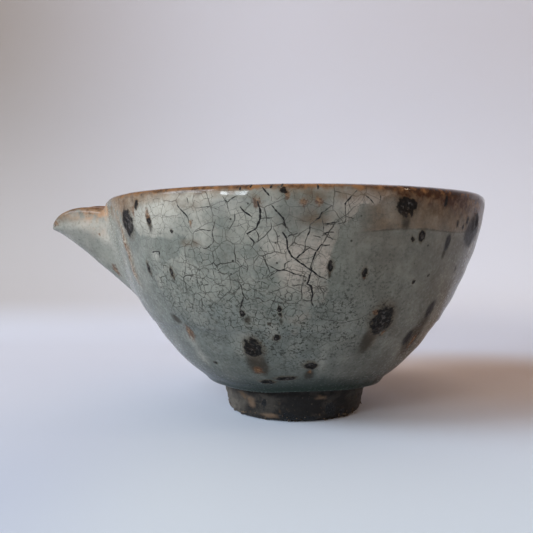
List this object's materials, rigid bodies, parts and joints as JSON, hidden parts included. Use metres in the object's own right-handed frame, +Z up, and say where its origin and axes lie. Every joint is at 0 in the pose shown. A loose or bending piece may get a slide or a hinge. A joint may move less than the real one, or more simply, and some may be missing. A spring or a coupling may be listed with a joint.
{
  "type": "pouring bowl",
  "caption": "Glazed stoneware katakuchi: a deep thrown bowl on a turned foot ring, with a pinched open spout at the rim for pouring sake or sauces.",
  "frame": {"origin": "on the bowl's own axis, in the plane of the foot ring's resting face", "axes": "+Z up along the bowl's axis, the spout pours towards -X, so +X is opposite the spout"},
  "size_m": [0.1409, 0.12, 0.0682],
  "materials": {
    "clay": "bare fired stoneware, dark grey-brown",
    "foot_clay": "bare fired stoneware, scorched and gritty at the edge",
    "outer_glaze": "glossy grey-white feldspar glaze, crackled, with iron spots and a brown rim",
    "inner_glaze": "glossy grey-white feldspar glaze, finely crackled"
  },
  "bodies": {
    "root": {"bowl": "clay", "foot_ring": "foot_clay", "spout": "clay", "outer_glaze": "outer_glaze", "inner_glaze": "inner_glaze"}
  },
  "joints": []
}
